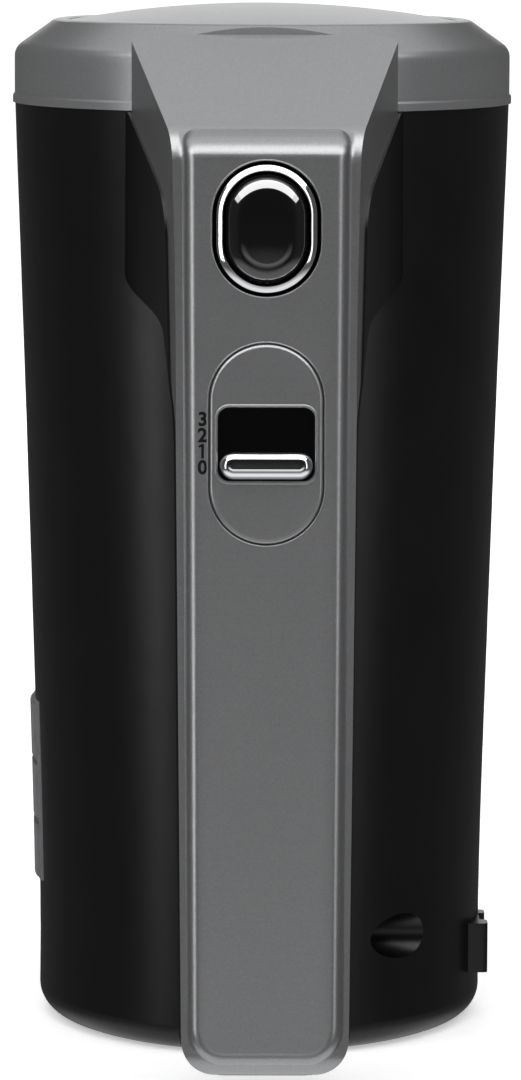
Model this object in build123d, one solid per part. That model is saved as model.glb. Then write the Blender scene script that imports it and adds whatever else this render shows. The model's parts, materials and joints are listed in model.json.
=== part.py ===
from build123d import *
import math
import os

# Hand mixer, standing on its heel: a round, slightly tapered motor housing with an open handle.
# Millimetres. The origin is on the housing's axis at the heel plane. +Z points to the nose,
# -Y to the handle and +Y to the side that the beaters plug into.

os.makedirs("parts", exist_ok=True)

# ---------------------------------------------------------------- driving dimensions
# Heights in this file count from a datum just above the heel; save() lifts every part by HEEL_DROP,
# so that the heel plane is z = 0 in the written files.
HEEL_DROP = 3.0

# Motor housing: (height, half-width, half-depth) of its outer surface, from the heel to the nose ring.
# It is round at the nose, and its sides taper more than its front and back.
BODY_STATIONS = [(-HEEL_DROP, 42.5, 45.9), (22.0, 42.35, 46.0), (58.0, 43.2, 46.1), (95.0, 44.3, 46.3),
                 (133.0, 45.5, 46.5), (171.2, 46.75, 46.76)]
HEEL_CORNER = 5.0
BODY_TOP = 171.2
WALL = 2.2
SPLIT_Y = 4.0

# Nose: the ring, its spigot joint with the housing, and the domed cap.
SPIGOT_R = 44.5
SPIGOT_BORE_R = 42.3
SPIGOT_LOW = 163.0
SPIGOT_TOP = 178.0
CAP_R = 36.3
CAP_EDGE_Z = 186.7
CAP_TOP_Z = 190.0
FIT_GAP = 0.1
SEAM_GAP = 0.15

# Handle: its front face leans out towards the heel.
FACE_Y = -80.0
FACE_Z = 160.0
FACE_SLOPE = 17.0 / 155.0
HANDLE_DEPTH = 22.0
HANDLE_END_Z = 4.0
PAD_RISE = 1.6
PAD_THICKNESS = 3.2
COVER_DEPTH = 8.0
RIM = 0.4
NECK_START_Y = -30.0
SLOPE_TOP = (-40.0, 185.2)
SLOPE_END = (-76.5, 168.2)
NECK_BEND = (15.85, -80.0)
NECK_SPREAD = 0.222
WIDE = 60.0

# Controls on the handle's face.
EJECT_Z = 152.7
EJECT_SINK = 6.0
EJECT_CROWN = 8.4
EJECT_DOME_R = 80.0
SLIDER_Z = 115.3
SPEED_TRAVEL = 7.5

# Drive: a three-start worm on the motor shaft turns two gears, one each side of it.
SHAFT_R = 3.0
SPINDLE_X = 20.0
SPINDLE_Z = 150.0
SPINDLE_R = 5.0
SOCKET_R = 3.05
GEAR_TEETH = 36
WORM_STARTS = 3
WORM_PITCH_R = 5.0
GEAR_PITCH_R = SPINDLE_X - WORM_PITCH_R
AXIAL_PITCH = 2.0 * math.pi * GEAR_PITCH_R / GEAR_TEETH
WORM_LEAD = AXIAL_PITCH * WORM_STARTS
GEAR_HALF = 4.0
RUN_GAP = 0.05

# Beater boss on the +Y side.
BOSS_FACE_Y = 49.0
BOSS_HALF_X = 30.0
BOSS_HALF_Z = 14.0

# Motor.
STATOR_R = 28.0
STATOR_LOW = 58.0
STATOR_TOP = 84.0
ROTOR_R = 14.0
AIR_GAP = 0.6

# Housing screws.
SCREW_X = 33.5
SCREW_ZS = (20.0, 112.0)
SCREW_BOSS_R = 3.6
SCREW_SEAT_Y = 12.0

# Screws that hold the handle's cover, through the back of the handle.
HANDLE_SCREW_ZS = (22.0, 84.0)

# Cord inlet: a bore along +X, low on the right of the handle side.
INLET_Y = -36.2
INLET_Z = 17.8
INLET_R = 4.2
GLAND_BORE_R = 3.2
GLAND_X = (8.0, 18.0)

# Ribbed pad on the left side, and how deep it and the clip are bedded in the wall.
REST_PAD_Z = (23.0, 57.6)
REST_PAD_HALF = 10.0
REST_PAD_BED = 0.8
CLIP_Z = (6.5, 16.0)

# Depths behind the handle's face.
BOARD_DEPTH = 11.0
CARRIAGE_DEPTH = 5.0
WIPER_DEPTH = 9.7

# The slider's rest position, measured up the face from the middle of its window.
KNOB_REST = -3.75

# Gearbox.
GEARBOX_X = 38.6
GEARBOX_Z = (124.0, 169.5)
GEARBOX_SPLIT_Y = -9.0
GEARBOX_BACK_Y = 12.0


# ---------------------------------------------------------------- helpers
def save(shape, name):
    """Write one node, lifted so that the heel plane is z = 0."""
    lifted = [Pos(0, 0, HEEL_DROP) * solid for solid in shape.solids()]
    node = lifted[0] if len(lifted) == 1 else Compound(children=lifted)
    export_step(node, f"parts/{name}.step")


def group(*shapes):
    """Several separate solids in one node."""
    return Compound(children=[solid for shape in shapes for solid in shape.solids()])


def rod(axis, radius, start, end, centre=(0.0, 0.0)):
    """A cylinder along X, Y or Z from start to end; centre holds the other two coordinates."""
    middle = (start + end) / 2.0
    first, second = centre
    place = {
        "X": Pos(middle, first, second) * Rot(0, 90, 0),
        "Y": Pos(first, middle, second) * Rot(90, 0, 0),
        "Z": Pos(first, second, middle),
    }[axis]
    return place * Cylinder(radius, abs(end - start))


def tube(axis, outer, inner, start, end, centre=(0.0, 0.0)):
    """A plain round tube."""
    return rod(axis, outer, start, end, centre) - rod(axis, inner, start - 1.0, end + 1.0, centre)


def block(x, y, z):
    """A box from three (low, high) pairs."""
    size = [high - low for low, high in (x, y, z)]
    middle = [(low + high) / 2.0 for low, high in (x, y, z)]
    return Pos(*middle) * Box(*size)


def outline(points):
    """A flat face from its corner points."""
    return make_face(Polyline(*points, close=True))


def round_corner(face, point, radius):
    """Round the corner of a flat face that is nearest to a point."""
    corner = face.vertices().sort_by_distance((*point, 0.0))[0]
    return fillet(corner, radius)


def grown(face, amount):
    """A flat face moved outwards by an amount, or inwards where it is negative."""
    if amount == 0:
        return face
    return offset(face, amount, kind=Kind.INTERSECTION)


def mirrored(points):
    """The points and their mirror images in X, as one closed outline."""
    return points + [(-x, y) for x, y in reversed(points)]


def stadium(width, length):
    """A slot outline, longer along Y, with fully round ends."""
    return SlotOverall(length, width, rotation=90)


# ---------------------------------------------------------------- outer forms
def face_y(z):
    """Y of the handle pad's front face at a height."""
    return FACE_Y - (FACE_Z - z) * FACE_SLOPE


def face_plane(z, lift=0.0):
    """A plane on the handle's face: local X is X, local Y runs up the face, local Z points out."""
    lean = math.atan(FACE_SLOPE)
    normal = Vector(0, -math.cos(lean), math.sin(lean))
    origin = Vector(0, face_y(z), z) + normal * lift
    return Plane(origin=origin, x_dir=(1, 0, 0), z_dir=normal)


def on_face(shape, z, lift=0.0):
    """A shape made at the origin, moved onto the handle's face."""
    return face_plane(z, lift).location * shape


def body_form(inset):
    """The housing's form below the nose ring, drawn in by inset, with its rounded heel."""
    sections = []
    for index, (z, half_width, half_depth) in enumerate(BODY_STATIONS):
        level = z + inset if index == 0 else z
        sections.append(Pos(0, 0, level) * Ellipse(half_width - inset, half_depth - inset))
    form = loft(sections)
    heel_edge = form.edges().sort_by(Axis.Z)[0]
    return fillet(heel_edge, HEEL_CORNER - inset)


def side_outline():
    """Neck and handle seen from the side, as (y, z): the whole cantilevered C on the -Y side."""
    slope = (SLOPE_TOP[1] - SLOPE_END[1]) / (SLOPE_TOP[0] - SLOPE_END[0])
    start = (NECK_START_Y, SLOPE_TOP[1] + (NECK_START_Y - SLOPE_TOP[0]) * slope)
    front_end = (face_y(HANDLE_END_Z) + PAD_RISE, HANDLE_END_Z)
    back_end = (face_y(HANDLE_END_Z) + HANDLE_DEPTH, HANDLE_END_Z)
    web_low = (face_y(104.0) + HANDLE_DEPTH, 104.0)
    web_top = (-59.5, 128.5)
    neck_under = (NECK_START_Y, 134.0)
    face = outline([start, SLOPE_END, front_end, back_end, web_low, web_top, neck_under])
    face = round_corner(face, SLOPE_END, 8.0)
    face = round_corner(face, front_end, 5.0)
    face = round_corner(face, back_end, 6.0)
    face = round_corner(face, web_top, 13.0)
    return face


def plan_outline(start_y):
    """Neck and handle seen along Z, as (x, y): wide at the housing, narrow at the handle."""
    start_half = NECK_BEND[0] + (start_y - NECK_BEND[1]) * NECK_SPREAD
    face = outline(mirrored([(start_half, start_y), NECK_BEND, (15.75, -110.0)]))
    for side in (1, -1):
        face = round_corner(face, (side * NECK_BEND[0], NECK_BEND[1]), 14.0)
    return face


def front_outline():
    """Neck and handle seen from the front, as (x, z): the neck's skirts end above the grip."""
    skirt = (25.3, 140.2)
    hollow = (18.0, 135.8)
    grip = (15.85, 118.0)
    end = (14.65, HANDLE_END_Z)
    face = outline(mirrored([(skirt[0], 200.0), skirt, hollow, grip, end]))
    for (x, z), radius in ((skirt, 4.5), (hollow, 5.0), (grip, 60.0), (end, 7.5)):
        for side in (1, -1):
            face = round_corner(face, (side * x, z), radius)
    return face


def handle_form(amount, start_y=NECK_START_Y):
    """Neck and handle as one solid, grown or drawn in by an amount."""
    side = extrude(Plane.YZ * grown(side_outline(), amount), WIDE, both=True)
    plan = extrude(grown(plan_outline(start_y), amount), 2 * 200.0, both=True)
    front = extrude(Plane.XZ * grown(front_outline(), amount), 200.0, both=True)
    return side & plan & front


def cover_zone():
    """Everything in front of the line where the handle's cover meets the black housing."""
    bottom = -5.0
    seam = [(-20.0, BODY_TOP), (-41.0, BODY_TOP), (-72.5, 157.0), (face_y(bottom) + COVER_DEPTH, bottom)]
    face = outline(seam + [(-130.0, bottom), (-130.0, 210.0), (-20.0, 210.0)])
    face = round_corner(face, seam[2], 12.0)
    face = round_corner(face, seam[1], 6.0)
    return extrude(Plane.YZ * face, WIDE, both=True)


def cover_reach(gap):
    """The plan zone that the cover takes out of the nose ring, with its two rounded corners."""
    back = SLOPE_TOP[0] + gap
    half = NECK_BEND[0] + (back - NECK_BEND[1]) * NECK_SPREAD
    notch = outline(mirrored([(half + gap, back), (half + gap, -130.0)]))
    for side in (1, -1):
        notch = round_corner(notch, (side * half, back), 5.0)
    return extrude(notch, 250.0)


def cover_form(gap=0.0):
    """The outside of the handle's cover without its pad."""
    return handle_form(gap) & cover_zone() & cover_reach(gap)


# ---------------------------------------------------------------- shells
def pad_form():
    """The raised pad of the handle's cover, with its rounded shoulder and edges."""
    low = HANDLE_END_Z + 2.6
    top = 169.7
    front_low = (face_y(low), low)
    front_top = (face_y(top), top)
    back_low = (face_y(low) + PAD_THICKNESS, low)
    back_top = (face_y(165.0) + PAD_THICKNESS, 165.0)
    side = outline([(-70.0, top), front_top, front_low, back_low, back_top, (-70.0, 165.0)])
    side = round_corner(side, front_top, 4.6)
    slab = extrude(Plane.YZ * side, WIDE, both=True)
    upper = (14.9, top + 1.0)
    lower = (13.85, low)
    front = outline(mirrored([upper, lower]))
    for side_x in (1, -1):
        front = round_corner(front, (side_x * lower[0], lower[1]), 6.7)
        front = round_corner(front, (side_x * upper[0], upper[1]), 3.0)
    pad = slab & extrude(Plane.XZ * front, 200.0, both=True)
    return fillet([edge for edge in pad.edges() if front_edge(edge)], 2.4)


def front_edge(edge):
    """True for an edge between the pad's side walls and its front surfaces."""
    middle = edge @ 0.5
    on_front = abs(middle.Y - face_y(middle.Z)) < 0.05 or middle.Z > 165.0 and middle.Y < -74.5
    along_x = abs((edge % 0.5).X) > 0.99
    return on_front and not along_x


def eject_opening(grow):
    """The oval hole that the eject button moves in."""
    return on_face(extrude(stadium(19.1 + 2 * grow, 23.8 + 2 * grow), 30.0, both=True), EJECT_Z)


def slider_window(width, height, corner, depth):
    """A rectangular cutter through the face at the speed slider."""
    return on_face(extrude(RectangleRounded(width, height, corner), depth, both=True), SLIDER_Z)


def screw_post(z, start, end, radius):
    """A round post on the handle's middle plane, along the screw that holds the cover."""
    return rod("Y", radius, face_y(z) + start, face_y(z) + end, (0.0, z))


def handle_cover():
    """The metallic cover: slope, flanks, raised pad and lip, hollow behind."""
    shell = cover_form() - handle_form(-WALL, NECK_START_Y)
    shell = shell + pad_form()
    for z in HANDLE_SCREW_ZS:
        shell = shell + screw_post(z, 3.0, 15.0, 3.2)
        shell = shell - screw_post(z, 7.0, 16.0, 1.1)
    shell = shell - eject_opening(0.0)
    bed = stadium(20.3, 35.4)
    shell = shell - on_face(extrude(bed, -1.2) + extrude(bed, 5.0), SLIDER_Z)
    shell = shell - slider_window(17.4, 13.4, 2.0, 20.0)
    return shell


def nose_ring():
    """The metallic ring round the nose, notched where the handle's cover comes in."""
    profile = [
        Polyline((33.0, 184.0), (36.5, 184.0), (36.5, 186.3), (37.0, 186.8)),
        ThreePointArc((37.0, 186.8), (38.3, 187.05), (39.6, 186.7)),
        Line((39.6, 186.7), (45.5, 182.5)),
        ThreePointArc((45.5, 182.5), (46.5, 181.4), (46.85, 179.9)),
        Polyline((46.85, 179.9), (46.85, 173.1), (47.2, 172.7), (47.2, 171.35), (44.6, 171.35),
                 (44.6, 178.6), (42.4, 181.2), (33.0, 181.2), (33.0, 184.0)),
    ]
    ring = revolve(Plane.XZ * make_face(profile), Axis.Z)
    return ring - cover_reach(SEAM_GAP)


def nose_cap():
    """The domed disc that closes the nose, resting on the ring's ledge."""
    dome = ThreePointArc((0, CAP_TOP_Z), (18.3, 189.15), (CAP_R, CAP_EDGE_Z))
    edge = Polyline((CAP_R, CAP_EDGE_Z), (CAP_R, 184.0), (34.5, 184.0), (32.8, 184.0), (32.8, 182.0),
                    (31.0, 182.0), (31.0, 185.0), (0, 187.6), (0, CAP_TOP_Z))
    return revolve(Plane.XZ * make_face([dome, edge]), Axis.Z)


def boss_form(grow, start):
    """The rounded platform on the +Y side that carries the beater sockets."""
    face = RectangleRounded(2 * (BOSS_HALF_X + grow), 2 * (BOSS_HALF_Z + grow), BOSS_HALF_Z + grow - 0.01)
    plane = Plane(origin=(0, start, SPINDLE_Z), x_dir=(1, 0, 0), z_dir=(0, 1, 0))
    return extrude(plane * face, BOSS_FACE_Y + grow - start)


def boss_platform():
    """The beater boss with its rounded face edge."""
    solid = boss_form(0.0, 20.0)
    rim = [edge for edge in solid.edges() if edge.center().Y > BOSS_FACE_Y - 0.01]
    return fillet(rim, 2.5)


def housing_shell():
    """Both halves of the black housing in one piece, before they are parted."""
    outer = body_form(0.0) + rod("Z", SPIGOT_R, SPIGOT_LOW, SPIGOT_TOP)
    outer = outer + (handle_form(RIM) - cover_zone()) + boss_platform()
    hollow = (body_form(WALL) & block((-WIDE, WIDE), (-WIDE, WIDE), (-5.0, SPIGOT_LOW + 1.0)))
    hollow = hollow + rod("Z", SPIGOT_BORE_R, SPIGOT_LOW, SPIGOT_TOP + 1.0)
    hollow = hollow + (boss_form(-WALL, 20.0) & block((-WIDE, WIDE), (20.0, BOSS_FACE_Y - 3.0), (100, 200)))
    shell = outer - hollow
    shell = shell - handle_form(-WALL)
    shell = shell - (cover_form(SEAM_GAP) & block((-WIDE, WIDE), (-47.5, 0.0), (100.0, 200.0)))
    return shell


def cradle_ribs():
    """Two internal rings that hold the motor's stator, and webs that carry the screw posts."""
    inside = body_form(1.0)
    ribs = tube("Z", WIDE, STATOR_R + FIT_GAP, 60.0, 62.0) + tube("Z", WIDE, STATOR_R + FIT_GAP, 80.0, 82.0)
    for z in SCREW_ZS:
        for side in (1, -1):
            ribs = ribs + rod("Y", SCREW_BOSS_R, -8.0, 34.0, (side * SCREW_X, z))
            reach = sorted((side * (SCREW_X + 1.0), side * WIDE))
            ribs = ribs + block(reach, (-8.0, 34.0), (z - 1.0, z + 1.0))
    return ribs & inside


def side_patch(inset, heights, half):
    """A patch of skin on the left of the housing, from a given level down to the pad's bed."""
    skin = body_form(inset) - body_form(REST_PAD_BED)
    return skin & block((-WIDE, -30.0), (-half, half), heights)


def bowl_rest_pad():
    """The ribbed rubber strip let into the left side: a low rim and three raised pads."""
    low, high = REST_PAD_Z
    pad = side_patch(-0.45, REST_PAD_Z, REST_PAD_HALF)
    pitch = (high - low) / 3.0
    for index in range(3):
        start = low + index * pitch + 0.7
        pad = pad + side_patch(-1.0, (start, start + pitch - 1.4), REST_PAD_HALF - 0.8)
    return pad


def cord_clip():
    """The two-jawed cord clip on the right side, bedded in the housing."""
    front_jaw = block((36.0, 43.4), (-16.0, -12.0), CLIP_Z)
    front_jaw = fillet(front_jaw.edges().filter_by(Axis.Z).sort_by(Axis.X)[-2:], 0.9)
    rear_jaw = block((36.0, 43.3), (-6.0, -2.5), CLIP_Z)
    rear_jaw = fillet(rear_jaw.edges().filter_by(Axis.Z).sort_by(Axis.X)[-2:], 0.9)
    base = block((36.0, 42.0), (-13.0, -5.0), CLIP_Z)
    return front_jaw + rear_jaw + base - body_form(REST_PAD_BED)


def vent_slots():
    """Air slots through the +Y side: intake near the heel and exhaust by the fan."""
    slots = []
    for low, high in ((34.0, 46.0), (94.0, 104.0)):
        for index in range(-4, 5):
            x = index * 5.0
            slot = Plane.XZ * Pos(x, (low + high) / 2.0) * stadium(2.4, high - low)
            slots.append(extrude(slot, -WIDE))
    return slots


def upper_housing(shell, ribs):
    """The -Y half of the housing, with the neck and the tray of the handle."""
    half = block((-WIDE, WIDE), (-130.0, SPLIT_Y), (-10.0, 200.0))
    body = (shell + ribs) & half
    for z in SCREW_ZS:
        for side in (1, -1):
            body = body - rod("Y", 1.3, -6.5, SPLIT_Y + 1.0, (side * SCREW_X, z))
    for z in HANDLE_SCREW_ZS:
        body = body + screw_post(z, 15.0, HANDLE_DEPTH - 1.0, 3.4)
        body = body - screw_post(z, 14.0, HANDLE_DEPTH + 3.0, 1.7)
        body = body - screw_post(z, HANDLE_DEPTH - 3.0, HANDLE_DEPTH + 3.0, 3.0)
    socket = rod("X", INLET_R + 2.0, 6.0, WIDE, (INLET_Y, INLET_Z)) & body_form(0.5)
    body = body + socket
    body = body - rod("X", INLET_R, GLAND_X[0], WIDE, (INLET_Y, INLET_Z))
    body = body - rod("X", GLAND_BORE_R, 0.0, WIDE, (INLET_Y, INLET_Z))
    for x in (-8.0, 8.0):
        for z in (52.0, 68.0):
            post_start = face_y(z) + BOARD_DEPTH + 1.9
            body = body + rod("Y", 2.0, post_start, face_y(z) + HANDLE_DEPTH - 1.0, (x, z))
    return body - cord_clip() - side_patch(-2.0, REST_PAD_Z, REST_PAD_HALF)


def lower_housing(shell, ribs):
    """The +Y half of the housing, with the beater boss and the vents."""
    half = block((-WIDE, WIDE), (SPLIT_Y, 130.0), (-10.0, 200.0))
    body = (shell + ribs) & half
    for z in SCREW_ZS:
        for side in (1, -1):
            place = (side * SCREW_X, z)
            body = body - rod("Y", 1.7, SPLIT_Y - 1.0, WIDE, place)
            body = body - rod("Y", 3.1, SCREW_SEAT_Y, WIDE, place)
    for side in (1, -1):
        body = body - rod("Y", 5.6, 20.0, WIDE, (side * SPINDLE_X, SPINDLE_Z))
    inside = body_form(1.0)
    for x, z in ((-31.0, 128.0), (31.0, 128.0), (-31.0, 166.0), (31.0, 166.0)):
        body = body + (rod("Y", 3.0, GEARBOX_BACK_Y, 40.0, (x, z)) & inside)
    for slot in vent_slots():
        body = body - slot
    return body - side_patch(-2.0, REST_PAD_Z, REST_PAD_HALF)


# ---------------------------------------------------------------- controls
def eject_cap():
    """The glossy button: a shallow dome with a strongly rounded edge."""
    prism = extrude(stadium(15.2, 19.8), EJECT_CROWN + 1.0)
    dome = Pos(0, 0, EJECT_CROWN - EJECT_DOME_R) * Rot(90, 0, 0) * Sphere(EJECT_DOME_R)
    cap = prism & dome
    rim = [edge for edge in cap.edges() if edge.center().Z > EJECT_SINK]
    cap = fillet(rim, 4.0)
    return on_face(cap, EJECT_Z, -EJECT_SINK)


def eject_ring():
    """The chrome frame round the button."""
    ring = extrude(stadium(17.1, 21.9), 6.9) - extrude(stadium(15.3, 19.9), 6.9)
    outer_rim = ring.faces().sort_by(Axis.Z)[-1].outer_wire().edges()
    ring = fillet(outer_rim, 0.7)
    inner_rim = ring.faces().sort_by(Axis.Z)[-1].inner_wires()[0].edges()
    ring = fillet(inner_rim, 0.12)
    return on_face(ring, EJECT_Z, -EJECT_SINK)


def eject_plunger():
    """The moving frame behind the button: base plate, stem, cross bar and two ejector pins."""
    plate = on_face(extrude(stadium(17.1, 21.9), 2.6), EJECT_Z, -8.6)
    stem = rod("Y", 2.5, -74.0, -23.0, (0.0, SPINDLE_Z))
    bar = block((-22.6, 22.6), (-24.0, -20.0), (SPINDLE_Z - 2.8, SPINDLE_Z + 2.8))
    plunger = plate + stem + bar
    for side in (1, -1):
        plunger = plunger + rod("Y", 2.6, -21.0, -12.6, (side * SPINDLE_X, SPINDLE_Z))
    return plunger


def eject_guide():
    """The plate across the neck that the plunger's stem slides in."""
    plate = block((-30.0, 30.0), (-60.0, -57.0), (138.0, 163.0)) & handle_form(-WALL)
    collar = rod("Y", 4.6, -57.5, -50.0, (0.0, SPINDLE_Z))
    return plate + collar - rod("Y", 2.5 + RUN_GAP, -62.0, -48.0, (0.0, SPINDLE_Z))


def coil_spring(radius, wire, turns, length):
    """A coil spring standing on the origin along Z."""
    path = Helix(pitch=length / turns, height=length, radius=radius)
    section = Plane(origin=path @ 0, z_dir=path % 0) * Circle(wire)
    return sweep(section, path=path, is_frenet=True)


def eject_spring():
    """The return spring round the plunger's stem."""
    start = -71.2
    length = 10.4
    place = Pos(0, start, SPINDLE_Z) * Rot(-90, 0, 0)
    return place * coil_spring(4.0, 0.4, 4, length)


def slider_plate():
    """The slot-shaped plate let into the pad round the speed slider, with a rounded edge."""
    plate = extrude(stadium(20.1, 35.2), 1.5)
    rim = plate.faces().sort_by(Axis.Z)[-1].outer_wire().edges()
    plate = fillet(rim, 0.9)
    plate = plate - Pos(0, 0, -1.0) * extrude(RectangleRounded(17.0, 12.9, 2.0), 4.0)
    return on_face(plate, SLIDER_Z, -1.2)


def slider_knob():
    """The chrome bar of the speed slider, with a slot for its dark insert."""
    bar = extrude(RectangleRounded(16.3, 4.9, 2.44), 3.4)
    rim = [edge for edge in bar.edges() if edge.center().Z > 3.3]
    bar = fillet(rim, 1.9)
    bar = bar - Pos(0, 0, 2.6) * extrude(RectangleRounded(12.4, 1.3, 0.5), 2.0)
    return on_face(Pos(0, KNOB_REST, 0) * bar, SLIDER_Z, -1.0)


def slider_insert():
    """The dark strip in the knob's slot."""
    strip = Pos(0, KNOB_REST, 2.6) * extrude(RectangleRounded(12.4, 1.3, 0.5), 0.4)
    return on_face(strip, SLIDER_Z, -1.0)


def switch_carriage():
    """The sliding plate behind the window: it carries the knob and wipes the contacts."""
    sheet = Pos(0, KNOB_REST, -CARRIAGE_DEPTH - 1.5) * extrude(RectangleRounded(21.0, 22.0, 2.0), 1.5)
    stem = Pos(0, KNOB_REST, -CARRIAGE_DEPTH - 0.5) * extrude(Rectangle(12.0, 3.4), CARRIAGE_DEPTH - 0.5)
    wiper_length = WIPER_DEPTH - CARRIAGE_DEPTH - 1.0
    wiper = Pos(0, KNOB_REST, -WIPER_DEPTH) * extrude(RectangleRounded(9.0, 5.0, 1.0), wiper_length)
    return on_face(sheet + stem + wiper, SLIDER_Z)


def switch_base():
    """The fixed body of the speed switch, on two legs from the back of the handle."""
    base = Pos(0, 0, -13.6) * extrude(RectangleRounded(20.0, 30.0, 1.5), 4.0)
    base = base - Pos(0, 0, -10.6) * extrude(Rectangle(14.0, 24.0), 2.0)
    for y in (-11.0, 11.0):
        base = base + Pos(0, y, -19.4) * extrude(Rectangle(12.0, 3.0), 6.0)
    return on_face(base, SLIDER_Z)


def switch_contacts():
    """Four copper strips in the switch, one for each position."""
    strips = []
    for index in range(4):
        y = KNOB_REST + index * SPEED_TRAVEL / 3.0
        strips.append(on_face(Pos(0, y, -10.6) * extrude(Rectangle(12.0, 1.6), 0.6), SLIDER_Z))
    return group(*strips)


def circuit_board():
    """The speed control board, on four posts inside the handle."""
    board = block((-11.0, 11.0), (0.0, 1.6), (46.0, 74.0))
    lean = math.degrees(math.atan(FACE_SLOPE))
    turned = Pos(0, face_y(60.0) + BOARD_DEPTH, 60.0) * Rot(-lean, 0, 0) * Pos(0, 0, -60.0) * board
    return turned


def suppression_capacitor():
    """The interference capacitor on the board."""
    lean = math.degrees(math.atan(FACE_SLOPE))
    can = fillet(block((-9.0, 9.0), (-5.6, 0.0), (52.0, 60.0)).edges(), 0.8)
    return Pos(0, face_y(60.0) + BOARD_DEPTH, 60.0) * Rot(-lean, 0, 0) * Pos(0, 0, -60.0) * can


# ---------------------------------------------------------------- motor
def diagonal_places(radius):
    """Four places on the diagonals, round the motor's axis."""
    reach = radius * math.sqrt(0.5)
    return [(x * reach, y * reach) for x in (1, -1) for y in (1, -1)]


def stator_core():
    """The laminated field core with its two poles."""
    core = tube("Z", STATOR_R, 22.0, STATOR_LOW, STATOR_TOP)
    bore_r = ROTOR_R + AIR_GAP
    shoes = tube("Z", bore_r + 2.6, bore_r, STATOR_LOW, STATOR_TOP)
    shoes = shoes - block((-9.0, 9.0), (-WIDE, WIDE), (50.0, 90.0))
    necks = block((-24.0, 24.0), (-7.0, 7.0), (STATOR_LOW, STATOR_TOP)) - rod("Z", bore_r, 50.0, 90.0)
    core = core + shoes + necks
    for place in diagonal_places(25.0):
        core = core - rod("Z", 1.7, 50.0, 90.0, place)
    return core


def field_coils():
    """The two field windings, one round each pole."""
    coils = []
    for side in (1, -1):
        span = sorted((0.0, side * WIDE))
        coil = tube("Z", 21.9, 17.4, 53.0, 89.0) & block(span, (-13.4, 13.4), (50.0, 95.0))
        coil = coil - block((-WIDE, WIDE), (-7.1, 7.1), (STATOR_LOW - 0.1, STATOR_TOP + 0.1))
        coils.append(coil)
    return group(*coils)


def armature_core():
    """The slotted iron core on the shaft."""
    core = tube("Z", ROTOR_R, SHAFT_R, 60.0, 82.0)
    for slot in PolarLocations(10.6, 12):
        core = core - slot * Cylinder(2.0, 200.0) - slot * Pos(4.0, 0, 0) * Box(8.0, 1.4, 200.0)
    return core


def armature_winding():
    """The copper winding: two end rings and the bundles in the slots."""
    ends = tube("Z", 12.8, 6.0, 54.0, 60.0) + tube("Z", 12.8, 6.0, 82.0, 88.0)
    for slot in PolarLocations(10.6, 12):
        ends = ends + slot * Pos(0, 0, 71.0) * Cylinder(1.9, 24.0)
    return ends


def commutator():
    """The copper commutator with its insulating slits."""
    drum = tube("Z", 10.0, SHAFT_R, 38.0, 50.0)
    for slit in PolarLocations(10.0, 12):
        drum = drum - slit * Box(2.0, 0.5, 200.0)
    return drum


def cooling_fan():
    """The fan that draws air through the motor."""
    fan = tube("Z", 7.0, SHAFT_R, 93.0, 103.0) + tube("Z", 24.5, SHAFT_R, 93.0, 94.5)
    for blade in PolarLocations(15.0, 12):
        fan = fan + blade * Pos(0, 0, 98.0) * Rot(0, 0, 18) * Box(17.0, 1.2, 8.0)
    return fan


def rear_bracket():
    """The heel-side motor frame: it holds the rear bearing and the brush holders."""
    frame = tube("Z", STATOR_R, 26.2, 34.0, STATOR_LOW) + tube("Z", STATOR_R, 8.0, 34.0, 36.5)
    frame = frame + tube("Z", 9.5, 7.0, 25.0, 36.5) + rod("Z", 9.5, 23.0, 25.0)
    for window in PolarLocations(17.5, 4):
        frame = frame - window * Pos(0, 0, 35.0) * Cylinder(5.0, 10.0)
    for place in diagonal_places(25.0):
        frame = frame + (rod("Z", 3.2, 34.0, STATOR_LOW, place) & rod("Z", STATOR_R, 30.0, 60.0))
        frame = frame - rod("Z", 1.7, 30.0, 60.0, place)
    return frame - block((-3.6, 3.6), (-WIDE, WIDE), (40.6, 49.0))


def front_bracket():
    """The nose-side motor frame: it holds the front bearing and opens to the exhaust vents."""
    frame = tube("Z", STATOR_R, 26.2, STATOR_TOP, 114.0) + tube("Z", STATOR_R, 8.0, 112.0, 114.0)
    frame = frame + tube("Z", 9.5, 7.0, 108.0, 116.5)
    for window in PolarLocations(STATOR_R, 8, start_angle=22.5):
        frame = frame - window * Pos(0, 0, 99.0) * Box(10.0, 12.0, 10.0)
    for window in PolarLocations(17.5, 4):
        frame = frame - window * Pos(0, 0, 113.0) * Cylinder(5.0, 10.0)
    for place in diagonal_places(25.0):
        frame = frame + (rod("Z", 3.2, STATOR_TOP, 91.0, place) & rod("Z", STATOR_R, 80.0, 95.0))
        frame = frame - rod("Z", 1.3, 80.0, 90.5, place)
    return frame


def motor_screws():
    """Four long screws that clamp the two brackets on the stator."""
    screws = []
    for place in diagonal_places(25.0):
        screws.append(rod("Z", 1.25, 33.0, 90.0, place) + rod("Z", 2.6, 31.6, 34.0, place))
    return group(*screws)


def bearing(low, high):
    """A sintered bush with chamfered ends."""
    return chamfer(tube("Z", 7.0, SHAFT_R + RUN_GAP, low, high).edges(), 0.4)


def brush_parts():
    """Brush holders and carbon brushes, on both sides of the commutator along Y."""
    holders = []
    brushes = []
    for side in (1, -1):
        reach = sorted((side * 11.2, side * 27.0))
        sleeve = block((-3.3, 3.3), reach, (41.2, 48.2)) - block((-2.5, 2.5), (-WIDE, WIDE), (42.2, 47.2))
        holders.append(sleeve)
        brushes.append(block((-2.4, 2.4), sorted((side * 10.05, side * 20.0)), (42.3, 47.1)))
    return group(*holders), group(*brushes)


def brush_springs():
    """The two coil springs that press the brushes in."""
    springs = []
    for side in (1, -1):
        place = Pos(0, side * 20.3, 44.7) * Rot(-90 * side, 0, 0)
        springs.append(place * coil_spring(1.7, 0.25, 4, 6.0))
    return group(*springs)


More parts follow.
